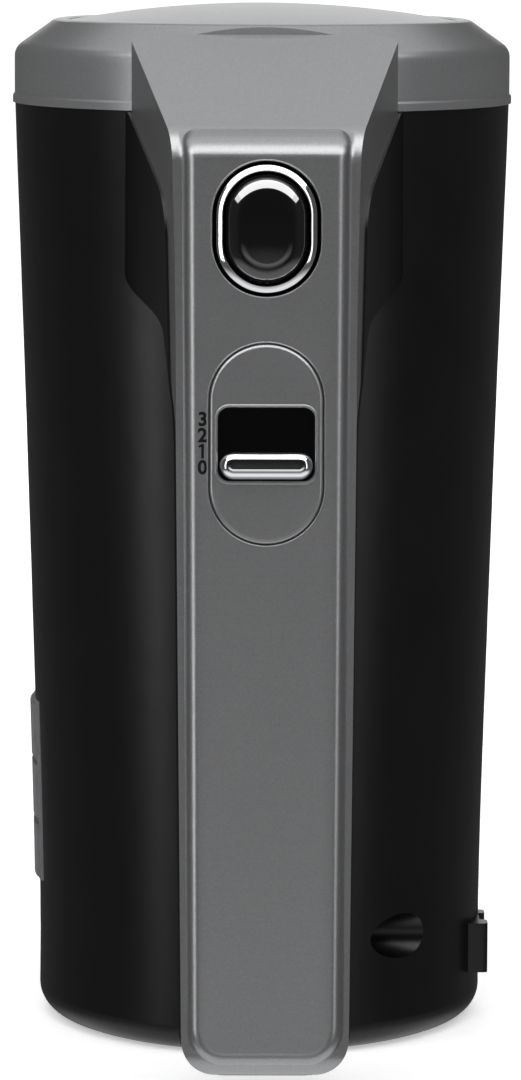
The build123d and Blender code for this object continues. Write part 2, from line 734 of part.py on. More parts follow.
# ---------------------------------------------------------------- drive
def worm():
    """Three-start right-hand worm: a lobed section twisted along the shaft."""
    low = SPINDLE_Z - 13.0
    length = 26.0
    root = WORM_PITCH_R - 0.95
    tip = WORM_PITCH_R + 0.65
    half = 360.0 / WORM_STARTS / 2.0
    points = []
    for start in range(WORM_STARTS):
        centre = start * 360.0 / WORM_STARTS
        for radius, part in ((root, -0.58), (tip, -0.2), (tip, 0.2), (root, 0.58)):
            angle = math.radians(centre + part * half)
            points.append((radius * math.cos(angle), radius * math.sin(angle), 0.0))
    section = outline(points).face()
    turn = 360.0 * length / WORM_LEAD
    thread = Solid.extrude_linear_with_rotation(section, (0, 0, 0), (0, 0, length), turn)
    phase = -360.0 * (SPINDLE_Z - low) / WORM_LEAD
    thread = Pos(0, 0, low) * Rot(0, 0, phase) * thread
    return thread - rod("Z", SHAFT_R, low - 1.0, low + length + 1.0)


def drive_gear(side):
    """One nylon worm gear with its hub; side is +1 on the right and -1 on the left."""
    pitch_angle = 360.0 / GEAR_TEETH
    root = GEAR_PITCH_R - 0.9
    tip = GEAR_PITCH_R + 0.6
    points = []
    for tooth in range(GEAR_TEETH):
        centre = tooth * pitch_angle
        for radius, part in ((root, -0.33), (tip, -0.13), (tip, 0.13), (root, 0.33)):
            angle = math.radians(centre + part * pitch_angle)
            points.append((radius * math.cos(angle), radius * math.sin(angle), 0.0))
    section = outline(points).face()
    width = 2 * GEAR_HALF
    twist = math.degrees(WORM_LEAD / (2 * math.pi * WORM_PITCH_R) * width / GEAR_PITCH_R)
    rim = Solid.extrude_linear_with_rotation(section, (0, 0, 0), (0, 0, width), twist)
    phase = pitch_angle / 2.0 if side > 0 else 0.0
    rim = Pos(0, 0, -GEAR_HALF) * Rot(0, 0, phase - twist / 2.0) * rim
    gear = rim + Pos(0, 0, 0.75) * Cylinder(8.0, 13.5)
    gear = gear - Cylinder(SPINDLE_R, 40.0)
    return Pos(side * SPINDLE_X, 0, SPINDLE_Z) * Rot(-90, 0, 0) * gear


def spindle(side):
    """The hollow steel spindle that a beater plugs into."""
    return tube("Y", SPINDLE_R, SOCKET_R, -12.0, 47.0, (side * SPINDLE_X, SPINDLE_Z))


def spindle_bushes():
    """The bronze bushes of the two spindles."""
    return group(*[tube("Y", 7.0, SPINDLE_R + RUN_GAP, 8.5, 22.0, (side * SPINDLE_X, SPINDLE_Z))
                   for side in (1, -1)])


def gearbox_corners():
    """Places of the four screws that close the gearbox."""
    return [(x, z) for x in (-34.2, 34.2) for z in (128.6, 164.9)]


def gearbox_base():
    """The gearbox tray behind the gears, with the spindle collars and the thrust seat."""
    low, high = GEARBOX_Z
    base = block((-GEARBOX_X, GEARBOX_X), (GEARBOX_SPLIT_Y, GEARBOX_BACK_Y), GEARBOX_Z)
    base = fillet(base.edges().filter_by(Axis.Y), 4.0)
    base = base - block((-36.6, 36.6), (-20.0, 9.6), (low + 2.0, high - 3.2))
    for place in gearbox_corners():
        post = rod("Y", 2.7, GEARBOX_SPLIT_Y, GEARBOX_BACK_Y, place)
        base = base + post - rod("Y", 1.05, GEARBOX_SPLIT_Y - 1.0, 6.0, place)
    for side in (1, -1):
        place = (side * SPINDLE_X, SPINDLE_Z)
        base = base + rod("Y", 9.0, 9.6, 24.0, place) - rod("Y", 7.0, 5.0, 22.0, place)
        base = base - rod("Y", SPINDLE_R + 0.4, 5.0, 25.0, place)
    base = base - rod("Z", SHAFT_R + 0.5, low - 1.0, low + 3.0)
    base = base - rod("Z", 5.0, high - 4.0, high - 1.0)
    return base


def gearbox_cover():
    """The lid of the gearbox on the handle side."""
    lid = block((-GEARBOX_X, GEARBOX_X), (-12.0, GEARBOX_SPLIT_Y), GEARBOX_Z)
    lid = fillet(lid.edges().filter_by(Axis.Y), 4.0)
    for side in (1, -1):
        lid = lid - rod("Y", SPINDLE_R + RUN_GAP, -20.0, 0.0, (side * SPINDLE_X, SPINDLE_Z))
    for place in gearbox_corners():
        lid = lid - rod("Y", 1.4, -20.0, 0.0, place)
    return lid


def cap_screw(axis_place, seat, tip, shank_r, head_r, head_height):
    """A pan-head screw along Y: its head sits outside the seat, away from the tip."""
    outward = 1.0 if seat > tip else -1.0
    shank = rod("Y", shank_r, *sorted((tip, seat)), axis_place)
    head = rod("Y", head_r, *sorted((seat, seat + outward * head_height)), axis_place)
    crown = [edge for edge in head.edges() if abs(edge.center().Y - seat - outward * head_height) < 0.01]
    head = fillet(crown, 0.6)
    top = seat + outward * head_height
    for wide, tall in ((2.6, 0.7), (0.7, 2.6)):
        x, z = axis_place
        depth = sorted((top, top - outward * 0.8))
        head = head - block((x - wide / 2, x + wide / 2), depth, (z - tall / 2, z + tall / 2))
    return shank + head


def housing_screws():
    """Four screws that join the two halves of the housing."""
    return group(*[cap_screw((side * SCREW_X, z), SCREW_SEAT_Y, -6.0, 1.25, 2.8, 2.0)
                   for side in (1, -1) for z in SCREW_ZS])


def gearbox_screws():
    """Four screws that close the gearbox."""
    return group(*[cap_screw(place, -12.0, -0.5, 1.0, 2.0, 1.4) for place in gearbox_corners()])


def handle_screws():
    """Two screws through the back of the handle into its cover."""
    return group(*[cap_screw((0.0, z), face_y(z) + HANDLE_DEPTH - 3.0, face_y(z) + 7.5, 1.05, 2.7, 1.8)
                   for z in HANDLE_SCREW_ZS])


# ---------------------------------------------------------------- build
def main():
    shell = housing_shell()
    ribs = cradle_ribs()
    holders, brushes = brush_parts()
    nodes = {
        "upper_housing": upper_housing(shell, ribs),
        "lower_housing": lower_housing(shell, ribs),
        "nose_ring": nose_ring(),
        "nose_cap": nose_cap(),
        "handle_cover": handle_cover(),
        "slider_plate": slider_plate(),
        "bowl_rest_pad": bowl_rest_pad(),
        "cord_clip": cord_clip(),
        "cord_gland": tube("X", INLET_R - 0.02, GLAND_BORE_R, *GLAND_X, (INLET_Y, INLET_Z)),
        "housing_screws": housing_screws(),
        "handle_screws": handle_screws(),
        "eject_guide": eject_guide(),
        "eject_spring": eject_spring(),
        "eject_cap": eject_cap(),
        "eject_ring": eject_ring(),
        "eject_plunger": eject_plunger(),
        "slider_knob": slider_knob(),
        "slider_insert": slider_insert(),
        "switch_carriage": switch_carriage(),
        "switch_base": switch_base(),
        "switch_contacts": switch_contacts(),
        "circuit_board": circuit_board(),
        "suppression_capacitor": suppression_capacitor(),
        "stator_core": stator_core(),
        "field_coils": field_coils(),
        "rear_bracket": rear_bracket(),
        "front_bracket": front_bracket(),
        "rear_bearing": bearing(26.0, 34.0),
        "front_bearing": bearing(108.5, 116.0),
        "motor_screws": motor_screws(),
        "brush_holders": holders,
        "carbon_brushes": brushes,
        "brush_springs": brush_springs(),
        "armature_shaft": rod("Z", SHAFT_R, 25.3, 168.0),
        "armature_core": armature_core(),
        "armature_winding": armature_winding(),
        "commutator": commutator(),
        "cooling_fan": cooling_fan(),
        "worm": worm(),
        "thrust_plate": rod("Z", 4.95, 168.05, 168.5),
        "drive_gear_left": drive_gear(-1),
        "drive_gear_right": drive_gear(1),
        "spindle_left": spindle(-1),
        "spindle_right": spindle(1),
        "spindle_bushes": spindle_bushes(),
        "gearbox_base": gearbox_base(),
        "gearbox_cover": gearbox_cover(),
        "gearbox_screws": gearbox_screws(),
    }
    for name, shape in nodes.items():
        save(shape, name)


if __name__ == "__main__":
    main()
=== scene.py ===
"""Looks of a hand mixer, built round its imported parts: materials, printed digits, trim, light and camera."""

import json
import math

import bpy
from mathutils import Matrix, Vector
from mathutils.bvhtree import BVHTree


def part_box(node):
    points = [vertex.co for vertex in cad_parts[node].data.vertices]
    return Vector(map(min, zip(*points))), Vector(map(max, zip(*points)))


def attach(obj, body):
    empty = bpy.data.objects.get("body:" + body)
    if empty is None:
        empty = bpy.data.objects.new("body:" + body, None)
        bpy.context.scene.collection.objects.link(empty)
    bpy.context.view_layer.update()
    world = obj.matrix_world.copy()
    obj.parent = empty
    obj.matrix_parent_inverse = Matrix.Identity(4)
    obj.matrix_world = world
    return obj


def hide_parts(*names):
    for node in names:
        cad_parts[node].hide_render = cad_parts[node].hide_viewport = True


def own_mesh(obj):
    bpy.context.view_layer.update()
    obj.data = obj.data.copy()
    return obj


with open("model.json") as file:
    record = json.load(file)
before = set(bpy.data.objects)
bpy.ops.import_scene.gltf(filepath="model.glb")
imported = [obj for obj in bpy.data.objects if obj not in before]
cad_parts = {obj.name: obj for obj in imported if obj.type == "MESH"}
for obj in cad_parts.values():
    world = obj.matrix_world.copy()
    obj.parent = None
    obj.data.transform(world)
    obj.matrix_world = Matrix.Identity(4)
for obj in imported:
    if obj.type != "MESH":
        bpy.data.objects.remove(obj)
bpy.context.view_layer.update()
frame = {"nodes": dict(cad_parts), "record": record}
nodes = frame["nodes"]
MM = 0.001

# ------------------------------------------------------------------ camera
FRAME_HEIGHT = 1080.0
FOCAL_HEIGHTS = 5170.0 / FRAME_HEIGHT
SENSOR = 36.0
CAMERA_DISTANCE = 983.0 * MM
CAMERA_TURN = math.radians(-0.65)
CAMERA_HEIGHT = 217.0 * MM
AIM_HEIGHT = 90.5 * MM
CAMERA_ROLL = math.radians(0.2)
NEAREST_SEEN = 0.05
FARTHEST_SEEN = 60.0


def add_camera():
    """The camera stands in front of the handle, a little to the left, and looks slightly down."""
    place = Vector((math.sin(CAMERA_TURN), -math.cos(CAMERA_TURN), 0.0)) * CAMERA_DISTANCE
    place.z = CAMERA_HEIGHT
    aim = Vector((0.0, 0.0, AIM_HEIGHT))
    data = bpy.data.cameras.new("camera")
    data.sensor_width = SENSOR
    data.lens = SENSOR * FOCAL_HEIGHTS
    data.clip_start = NEAREST_SEEN
    data.clip_end = FARTHEST_SEEN
    camera = bpy.data.objects.new("camera", data)
    turn = (aim - place).to_track_quat("-Z", "Y").to_matrix()
    roll = Matrix.Rotation(CAMERA_ROLL, 3, "Z")
    camera.matrix_world = Matrix.Translation(place) @ (turn @ roll).to_4x4()
    bpy.context.scene.collection.objects.link(camera)
    bpy.context.scene.camera = camera


# ------------------------------------------------------------------ light
OBJECT_MIDDLE = (0.0, 0.0, 0.1)
# Each panel has a name, a place, the point it faces, its width and height in metres, and its radiance.
PANELS = [
    ("overhead_front", (0.0, -0.69, 1.25), (0.0, -0.69, 0.0), (2.6, 1.18), 2.6),
    ("overhead_back", (0.0, 0.45, 1.25), (0.0, 0.45, 0.0), (1.7, 1.1), 0.85),
    ("wall_behind", (0.0, 1.0, 0.45), OBJECT_MIDDLE, (0.45, 0.8), 1.0),
    ("left_panel", (-1.05, -0.75, 0.5), OBJECT_MIDDLE, (0.30, 1.5), 3.0),
    ("right_panel", (0.95, -0.85, 0.5), OBJECT_MIDDLE, (0.26, 1.5), 1.8),
    ("button_softbox", (0.0, -0.69, 1.2), (0.0, -0.69, 0.0), (3.6, 1.18), 7.0),
]
# Levels of the world's light, as (a direction's component from -1 to 1, brightness) pairs.
ROOM_BY_HEIGHT = [(-1.0, 0.9), (-0.6, 0.8), (-0.38, 0.10), (0.0, 0.07), (1.0, 0.07)]
GLOW_BY_HEIGHT = [(-0.4, 0.45), (-0.12, 1.0), (0.0, 0.30), (0.07, 0.02), (0.2, 0.0)]
GLOW_SHARE_BY_DEPTH = [(-0.97, 1.0), (-0.85, 0.0)]
ROOM_SHARE_BY_DEPTH = [(-0.97, 0.15), (-0.85, 0.25), (-0.6, 1.0)]
SEEN_WHITE = 0.98


def add_panel(name, place, aim, size, radiance):
    """A soft rectangular light that faces aim; radiance is its brightness seen straight on."""
    data = bpy.data.lights.new(name, "AREA")
    data.shape = "RECTANGLE"
    data.size, data.size_y = size
    data.energy = radiance * math.pi * size[0] * size[1]
    panel = bpy.data.objects.new(name, data)
    place = Vector(place)
    panel.location = place
    panel.rotation_mode = "QUATERNION"
    panel.rotation_quaternion = (Vector(aim) - place).to_track_quat("-Z", "Y")
    panel.visible_camera = False
    bpy.context.scene.collection.objects.link(panel)
    return panel


def button_group(name, state):
    """A light-linking group that includes or excludes only the eject button's cap."""
    group = bpy.data.collections.new(name)
    group.objects.link(nodes["eject_cap"])
    group.collection_objects[0].light_linking.link_state = state
    return group


def add_lights():
    """All the panels. The side ones leave out the button's cap, and the softbox lights only that cap."""
    panels = {name: add_panel(name, *settings) for name, *settings in PANELS}
    shielded = button_group("shielded_from_sides", "EXCLUDE")
    for name in ("left_panel", "right_panel"):
        panels[name].light_linking.receiver_collection = shielded
    lit = button_group("lit_by_button_softbox", "INCLUDE")
    panels["button_softbox"].light_linking.receiver_collection = lit


def world_ramp(tree, value, levels):
    """A brightness that follows one component of a direction, through (component, brightness) pairs."""
    fit = tree.nodes.new("ShaderNodeMapRange")
    fit.inputs["From Min"].default_value = -1.0
    tree.links.new(value, fit.inputs["Value"])
    ramp = tree.nodes.new("ShaderNodeValToRGB")
    stops = ramp.color_ramp.elements
    while len(stops) < len(levels):
        stops.new(0.5)
    for stop, (component, brightness) in zip(stops, levels):
        stop.position = (component + 1.0) / 2.0
        stop.color = (brightness, brightness, brightness, 1.0)
    tree.links.new(fit.outputs["Result"], ramp.inputs["Fac"])
    return ramp.outputs["Color"]


def add_world():
    """A dim room, paler below, with a soft glow low in front. The camera itself sees it as white."""
    world = bpy.data.worlds.new("studio")
    world.use_nodes = True
    tree = world.node_tree
    tree.nodes.clear()
    split = tree.nodes.new("ShaderNodeSeparateXYZ")
    tree.links.new(tree.nodes.new("ShaderNodeTexCoord").outputs["Generated"], split.inputs["Vector"])
    room = world_ramp(tree, split.outputs["Z"], ROOM_BY_HEIGHT)
    glow = world_ramp(tree, split.outputs["Z"], GLOW_BY_HEIGHT)
    ahead = world_ramp(tree, split.outputs["Y"], GLOW_SHARE_BY_DEPTH)
    aside = world_ramp(tree, split.outputs["Y"], ROOM_SHARE_BY_DEPTH)
    dimmed = tree.nodes.new("ShaderNodeVectorMath")
    dimmed.operation = "MULTIPLY"
    tree.links.new(room, dimmed.inputs[0])
    tree.links.new(aside, dimmed.inputs[1])
    weighted = tree.nodes.new("ShaderNodeVectorMath")
    weighted.operation = "MULTIPLY_ADD"
    tree.links.new(glow, weighted.inputs[0])
    tree.links.new(ahead, weighted.inputs[1])
    tree.links.new(dimmed.outputs["Vector"], weighted.inputs[2])
    lit = tree.nodes.new("ShaderNodeBackground")
    tree.links.new(weighted.outputs["Vector"], lit.inputs["Color"])
    white = tree.nodes.new("ShaderNodeBackground")
    white.inputs["Color"].default_value = (SEEN_WHITE, SEEN_WHITE, SEEN_WHITE, 1.0)
    path = tree.nodes.new("ShaderNodeLightPath")
    mix = tree.nodes.new("ShaderNodeMixShader")
    output = tree.nodes.new("ShaderNodeOutputWorld")
    tree.links.new(path.outputs["Is Camera Ray"], mix.inputs["Fac"])
    tree.links.new(lit.outputs["Background"], mix.inputs[1])
    tree.links.new(white.outputs["Background"], mix.inputs[2])
    tree.links.new(mix.outputs["Shader"], output.inputs["Surface"])
    bpy.context.scene.world = world
    bpy.context.scene.view_settings.view_transform = "Standard"


# ------------------------------------------------------------------ material kit
# The phase of Blender's wave texture is this many times its scaled coordinate.
WAVE_PHASE = 20.0
# The pad's shading leans outwards. The lean grows between the first two half widths, then ends between the
# second two.
SOFT_SIDE = (8.5 * MM, 14.0 * MM)
PAD_SIDE = (14.8 * MM, 15.6 * MM)
SIDE_LEAN = 0.24
# It leans upwards too, in the same way, between heights above the button's ring.
SOFT_TOP = (0.3 * MM, 4.5 * MM)
PAD_TOP = (5.0 * MM, 6.0 * MM)
TOP_LEAN = 0.6


class Recipe:
    """A material being made: its shader, and short ways to add the usual nodes. Sizes are in metres."""

    def __init__(self, name, colour, roughness, metallic=0.0):
        self.material = bpy.data.materials.new(name)
        self.material.use_nodes = True
        self.tree = self.material.node_tree
        self.shader = self.tree.nodes["Principled BSDF"]
        self.set("Base Color", (*colour, 1.0))
        self.set("Roughness", roughness)
        self.set("Metallic", metallic)
        self.place = self.add("ShaderNodeTexCoord").outputs["Object"]

    def set(self, socket, value):
        """One value for the whole surface, on the shader's own socket."""
        self.shader.inputs[socket].default_value = value

    def add(self, kind, **settings):
        """A new node with its settings."""
        node = self.tree.nodes.new(kind)
        for name, value in settings.items():
            setattr(node, name, value)
        return node

    def link(self, output, socket):
        """Joins an output to a socket of a node, or to one of the shader's by name."""
        target = self.shader.inputs[socket] if isinstance(socket, str) else socket
        self.tree.links.new(output, target)

    def stretched(self, stretch):
        """The place on the object, scaled along each axis."""
        mapping = self.add("ShaderNodeMapping")
        mapping.inputs["Scale"].default_value = stretch
        self.link(self.place, mapping.inputs["Vector"])
        return mapping.outputs["Vector"]

    def noise(self, size, detail=2.0, stretch=None):
        """Cloudy noise from 0 to 1, with features of a given size."""
        node = self.add("ShaderNodeTexNoise")
        node.inputs["Scale"].default_value = 1.0 / size
        node.inputs["Detail"].default_value = detail
        self.link(self.stretched(stretch) if stretch else self.place, node.inputs["Vector"])
        return node.outputs["Fac"]

    def cells(self, size):
        """A random colour for each small cell of a given size."""
        node = self.add("ShaderNodeTexVoronoi")
        node.inputs["Scale"].default_value = 1.0 / size
        self.link(self.place, node.inputs["Vector"])
        return node.outputs["Color"]

    def bands(self, pitch, direction, distortion=0.0):
        """Even stripes across an axis of the object, from 0 to 1."""
        node = self.add("ShaderNodeTexWave", wave_type="BANDS", bands_direction=direction)
        node.inputs["Scale"].default_value = 2.0 * math.pi / pitch / WAVE_PHASE
        node.inputs["Distortion"].default_value = distortion
        self.link(self.place, node.inputs["Vector"])
        return node.outputs["Fac"]

    def spread(self, value, low, high):
        """A value from 0 to 1, spread between two others."""
        node = self.add("ShaderNodeMapRange")
        node.inputs["To Min"].default_value = low
        node.inputs["To Max"].default_value = high
        self.link(value, node.inputs["Value"])
        return node.outputs["Result"]

    def tint(self, value, dark, light, start=0.3, end=0.7):
        """A colour between dark and light, following a value."""
        node = self.add("ShaderNodeValToRGB")
        first, last = node.color_ramp.elements
        first.position, last.position = start, end
        first.color, last.color = (*dark, 1.0), (*light, 1.0)
        self.link(value, node.inputs["Fac"])
        return node.outputs["Color"]

    def bump(self, height, depth):
        """Relief of a given depth, from a value from 0 to 1."""
        node = self.add("ShaderNodeBump")
        node.inputs["Distance"].default_value = depth
        self.link(height, node.inputs["Height"])
        self.link(node.outputs["Normal"], "Normal")

    def grown(self, value, start, end, amount):
        """A value that grows smoothly from nothing at the start to the amount at the end."""
        made = self.add("ShaderNodeMapRange", interpolation_type="SMOOTHSTEP")
        made.inputs["From Min"].default_value = start
        made.inputs["From Max"].default_value = end
        made.inputs["To Max"].default_value = amount
        self.link(value, made.inputs["Value"])
        return made.outputs["Result"]

    def product(self, first, second):
        """Two values multiplied."""
        made = self.add("ShaderNodeMath", operation="MULTIPLY")
        self.link(first, made.inputs[0])
        self.link(second, made.inputs[1])
        return made.outputs["Value"]

    def soft_rim(self, ring_top):
        """Leans the pad's surface outwards towards its sides and upwards towards its top, within its edge."""
        soft_top = [ring_top + height for height in SOFT_TOP]
        pad_top = [ring_top + height for height in PAD_TOP]
        split = self.add("ShaderNodeSeparateXYZ")
        self.link(self.place, split.inputs["Vector"])
        distance = self.add("ShaderNodeMath", operation="ABSOLUTE")
        self.link(split.outputs["X"], distance.inputs[0])
        side = self.add("ShaderNodeMath", operation="SIGN")
        self.link(split.outputs["X"], side.inputs[0])
        below = self.grown(split.outputs["Z"], soft_top[1], soft_top[0], 1.0)
        inside = self.grown(distance.outputs["Value"], PAD_SIDE[1], PAD_SIDE[0], 1.0)
        growth = self.grown(distance.outputs["Value"], *SOFT_SIDE, SIDE_LEAN)
        outwards = self.product(growth, side.outputs["Value"])
        made = self.add("ShaderNodeCombineXYZ")
        self.link(self.product(self.product(outwards, below), inside), made.inputs["X"])
        under = self.grown(split.outputs["Z"], pad_top[1], pad_top[0], 1.0)
        upwards = self.product(self.grown(split.outputs["Z"], *soft_top, TOP_LEAN), under)
        self.link(self.product(upwards, inside), made.inputs["Z"])
        return made.outputs["Vector"]

    def flakes(self, colours, tilt, lean=None):
        """Tips the surface a little, a different way in each cell, as flakes in paint lie, after any lean."""
        centred = self.add("ShaderNodeVectorMath", operation="SUBTRACT")
        centred.inputs[1].default_value = (0.5, 0.5, 0.5)
        self.link(colours, centred.inputs[0])
        scaled = self.add("ShaderNodeVectorMath", operation="SCALE")
        scaled.inputs["Scale"].default_value = tilt
        self.link(centred.outputs["Vector"], scaled.inputs[0])
        normal = self.add("ShaderNodeNewGeometry").outputs["Normal"]
        added = self.add("ShaderNodeVectorMath", operation="ADD")
        self.link(scaled.outputs["Vector"], added.inputs[0])
        self.link(normal, added.inputs[1])
        if lean:
            leaned = self.add("ShaderNodeVectorMath", operation="ADD")
            self.link(added.outputs["Vector"], leaned.inputs[0])
            self.link(lean, leaned.inputs[1])
            added = leaned
        tipped = self.add("ShaderNodeVectorMath", operation="NORMALIZE")
        self.link(added.outputs["Vector"], tipped.inputs[0])
        self.link(tipped.outputs["Vector"], "Normal")


def shade(colour, factor):
    """A colour made lighter or darker."""
    return tuple(channel * factor for channel in colour)


# ------------------------------------------------------------------ materials
def metallic_grey(name="metallic_grey", colour=(0.35, 0.353, 0.361), metallic=0.92, soft_rim=False):
    """Grey plastic painted with fine metal flake under a satin clear coat."""
    made = Recipe(name, colour, 0.34, metallic=metallic)
    flake = made.cells(0.15 * MM)
    made.link(made.tint(flake, shade(colour, 0.9), shade(colour, 1.1), start=0.1, end=0.9), "Base Color")
    lean = made.soft_rim(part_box("eject_ring")[1][2]) if soft_rim else None
    made.flakes(flake, tilt=0.03, lean=lean)
    made.link(made.spread(made.noise(9.0 * MM), 0.32, 0.36), "Roughness")
    made.set("Coat Weight", 0.15)
    made.set("Coat Roughness", 0.25)
    return made.material


def satin_black():
    """Black moulded plastic with a very fine spark-eroded texture."""
    colour = (0.0022, 0.0023, 0.0026)
    made = Recipe("satin_black", colour, 0.32)
    made.set("Specular IOR Level", 0.4)
    made.link(made.tint(made.noise(14.0 * MM), shade(colour, 0.85), shade(colour, 1.2)), "Base Color")
    made.link(made.spread(made.noise(5.0 * MM), 0.30, 0.35), "Roughness")
    made.bump(made.noise(0.25 * MM, detail=3.0), 0.004 * MM)
    return made.material


def gloss_black():
    """Polished black plastic."""
    made = Recipe("gloss_black", (0.002, 0.002, 0.0022), 0.05)
    made.link(made.spread(made.noise(3.0 * MM), 0.035, 0.065), "Roughness")
    made.set("Coat Weight", 1.0)
    made.set("Coat IOR", 1.6)
    made.set("Coat Roughness", 0.03)
    return made.material


def chrome():
    """Polished chrome plating with a trace of polishing haze."""
    made = Recipe("chrome", (0.86, 0.87, 0.89), 0.07, metallic=1.0)
    made.link(made.spread(made.noise(1.2 * MM, stretch=(1.0, 1.0, 6.0)), 0.05, 0.10), "Roughness")
    return made.material


def rubber(name, colour):
    """Moulded rubber with a fine matt texture."""
    made = Recipe(name, colour, 0.7)
    made.link(made.tint(made.noise(4.0 * MM), shade(colour, 0.88), shade(colour, 1.1)), "Base Color")
    made.bump(made.noise(0.2 * MM, detail=3.0), 0.015 * MM)
    made.set("Specular IOR Level", 0.35)
    return made.material


def steel(name, colour, stretch, roughness):
    """Ground or drawn steel with fine scratches along its length."""
    made = Recipe(name, colour, roughness, metallic=1.0)
    scratch = made.noise(0.3 * MM, detail=3.0, stretch=stretch)
    made.link(made.tint(scratch, shade(colour, 0.85), shade(colour, 1.08)), "Base Color")
    made.link(made.spread(scratch, roughness * 0.8, roughness * 1.25), "Roughness")
    made.bump(scratch, 0.004 * MM)
    return made.material


def lamination():
    """A stack of steel sheets with varnished edges."""
    made = Recipe("lamination", (0.14, 0.15, 0.165), 0.45, metallic=0.8)
    sheets = made.bands(0.5 * MM, "Z")
    made.link(made.tint(sheets, (0.07, 0.075, 0.085), (0.19, 0.20, 0.22)), "Base Color")
    made.bump(sheets, 0.05 * MM)
    return made.material


def copper_wire():
    """Layers of enamelled winding wire."""
    colour = (0.45, 0.14, 0.045)
    made = Recipe("copper_wire", colour, 0.3, metallic=0.9)
    turns = made.bands(0.6 * MM, "Z", distortion=0.6)
    made.link(made.tint(turns, shade(colour, 0.45), shade(colour, 1.25)), "Base Color")
    made.bump(turns, 0.15 * MM)
    made.set("Coat Weight", 0.6)
    made.set("Coat Roughness", 0.15)
    return made.material


def soft_metal(name, colour, roughness, grain):
    """Brass, bronze or copper with a light tarnish and a fine grain."""
    made = Recipe(name, colour, roughness, metallic=1.0)
    tarnish = made.noise(4.0 * MM, detail=4.0)
    made.link(made.tint(tarnish, shade(colour, 0.72), shade(colour, 1.1)), "Base Color")
    made.link(made.spread(tarnish, roughness * 1.3, roughness * 0.85), "Roughness")
    made.bump(made.noise(grain, detail=2.0), 0.008 * MM)
    return made.material


def moulded(name, colour, roughness, fibre=0.5 * MM):
    """Plain moulded plastic, a little mottled, with a fine skin."""
    made = Recipe(name, colour, roughness)
    mottle = made.noise(fibre, detail=3.0)
    made.link(made.tint(mottle, shade(colour, 0.86), shade(colour, 1.12)), "Base Color")
    made.link(made.spread(made.noise(3.0 * MM), roughness * 0.9, roughness * 1.1), "Roughness")
    made.bump(made.noise(0.3 * MM), 0.010 * MM)
    return made.material


def circuit_green():
    """Solder mask over faint copper tracks."""
    made = Recipe("board_green", (0.01, 0.10, 0.035), 0.35)
    tracks = made.bands(2.2 * MM, "Z", distortion=3.0)
    mask, raised = (0.008, 0.085, 0.03), (0.02, 0.16, 0.06)
    made.link(made.tint(tracks, mask, raised, start=0.45, end=0.55), "Base Color")
    made.bump(tracks, 0.03 * MM)
    made.set("Coat Weight", 0.4)
    return made.material


def make_materials():
    """One material for each material slot of the record."""
    along_z = (1.0, 1.0, 0.06)
    return {
        "metallic_grey": metallic_grey(),
        "black_plastic": satin_black(),
        "gloss_black": gloss_black(),
        "chrome": chrome(),
        "grey_rubber": rubber("grey_rubber", (0.13, 0.132, 0.136)),
        "black_rubber": rubber("black_rubber", (0.012, 0.012, 0.012)),
        "steel": steel("steel", (0.55, 0.56, 0.58), along_z, 0.25),
        "spring_steel": steel("spring_steel", (0.5, 0.51, 0.53), (1.0, 1.0, 1.0), 0.2),
        "zinc_screw": steel("zinc_screw", (0.52, 0.53, 0.55), (1.0, 1.0, 1.0), 0.32),
        "lamination": lamination(),
        "copper_wire": copper_wire(),
        "copper": soft_metal("copper", (0.72, 0.34, 0.20), 0.25, 0.4 * MM),
        "brass": soft_metal("brass", (0.70, 0.50, 0.20), 0.28, 0.4 * MM),
        "bronze": soft_metal("bronze", (0.42, 0.25, 0.11), 0.42, 0.12 * MM),
        "carbon": moulded("carbon", (0.02, 0.02, 0.022), 0.55, 0.2 * MM),
        "frame_plastic": moulded("frame_plastic", (0.05, 0.05, 0.055), 0.5),
        "nylon": moulded("nylon", (0.72, 0.69, 0.60), 0.4, 3.0 * MM),
        "fan_plastic": moulded("fan_plastic", (0.32, 0.33, 0.35), 0.42),
        "board_green": circuit_green(),
        "capacitor_yellow": moulded("capacitor_yellow", (0.62, 0.42, 0.04), 0.3, 2.0 * MM),
    }


def dress_nodes(materials):
    """Gives every carried CAD node its slot's material; the cover and the ring have their own greys."""
    for part in frame["record"]["subparts"]:
        mesh = nodes[part["node"]].data
        mesh.materials.clear()
        mesh.materials.append(materials[part["material_slot"]])
    nodes["handle_cover"].data.materials[0] = metallic_grey("metallic_grey_pad", soft_rim=True)
    ring_grey = (0.30, 0.303, 0.31)
    nodes["nose_ring"].data.materials[0] = metallic_grey("metallic_grey_ring", ring_grey, metallic=0.75)


# ------------------------------------------------------------------ floor
FLOOR_HALF = 12.0
FLOOR_DROP = 0.1 * MM
FLOOR_GREYS = (0.88, 0.92)
FLOOR_CLOUDS = 0.5
# The floor's own light grows between two distances from the mixer.
GLOW_DISTANCES = (0.3, 1.2)
GLOW_STRENGTHS = (0.45, 1.1)


